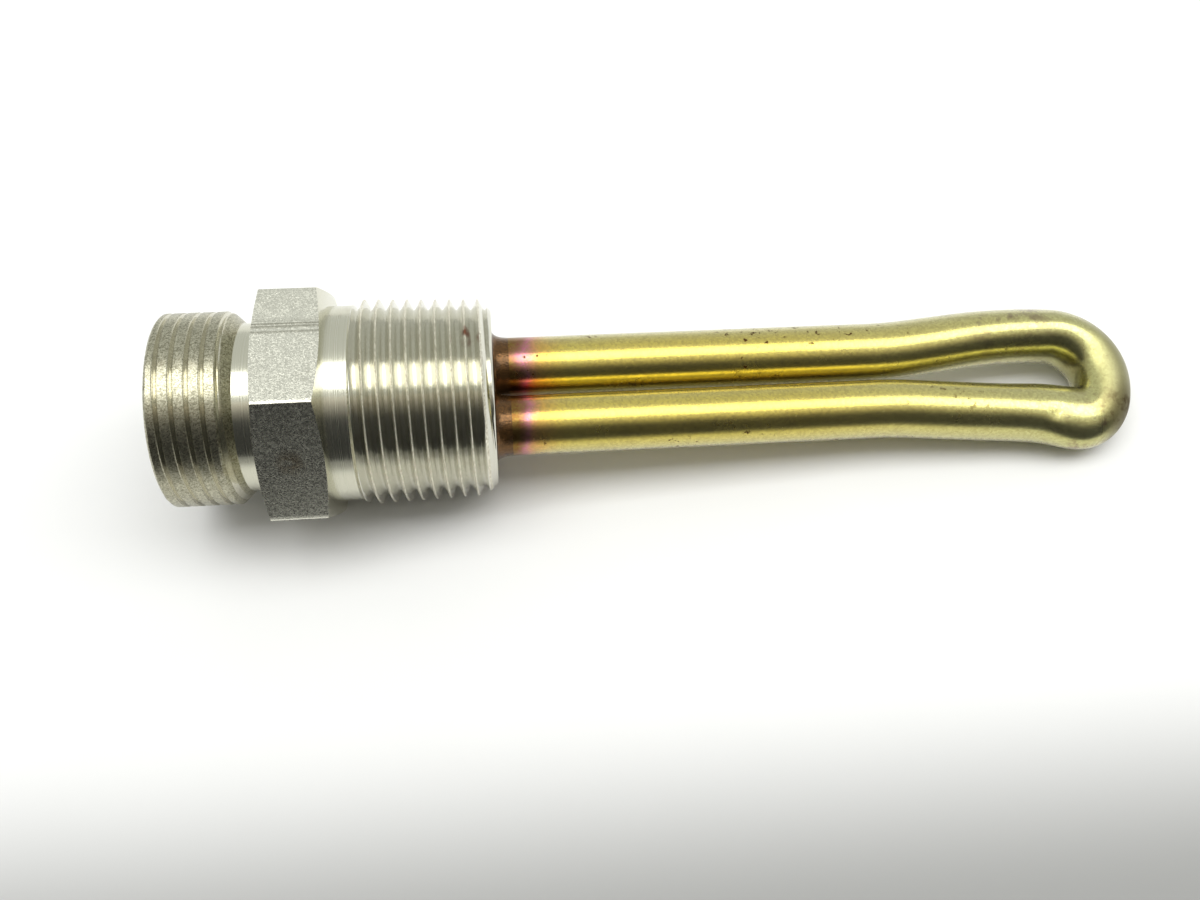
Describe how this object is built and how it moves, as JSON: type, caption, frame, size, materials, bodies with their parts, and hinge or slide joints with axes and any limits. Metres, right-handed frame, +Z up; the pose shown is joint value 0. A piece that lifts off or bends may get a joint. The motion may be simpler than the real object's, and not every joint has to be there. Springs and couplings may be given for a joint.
{
  "type": "screw plug immersion heater",
  "caption": "Hexagon screw plug with a tapered pipe thread that carries a hairpin tubular heating element, with a threaded terminal cup at its rear.",
  "frame": {"origin": "on the plug's axis, in the hexagon's face on the tank side", "axes": "+X along the plug's axis towards the element's bend, +Z up with one flat of the hexagon facing down"},
  "size_m": [0.1291, 0.033, 0.0286],
  "materials": {
    "plug_steel": "turned stainless steel with a blasted hexagon",
    "sheath": "bright drawn tube with a straw-coloured heat tint",
    "braze": "oxidised braze",
    "magnesia": "pressed powder",
    "heating_wire": "drawn resistance wire",
    "pin_steel": "plated steel stud",
    "seal_resin": "cast resin",
    "bushing_ceramic": "fired ceramic",
    "terminal_brass": "machined brass"
  },
  "bodies": {
    "root": {"plug_body": "plug_steel", "braze_joint": "braze", "element_sheath": "sheath", "magnesia_fill": "magnesia", "resistance_coil": "heating_wire", "terminal_pin_1": "pin_steel", "terminal_pin_2": "pin_steel", "end_seal_1": "seal_resin", "end_seal_2": "seal_resin", "ceramic_bushing_1": "bushing_ceramic", "ceramic_bushing_2": "bushing_ceramic", "terminal_washers": "terminal_brass", "terminal_nuts": "terminal_brass"}
  },
  "joints": []
}
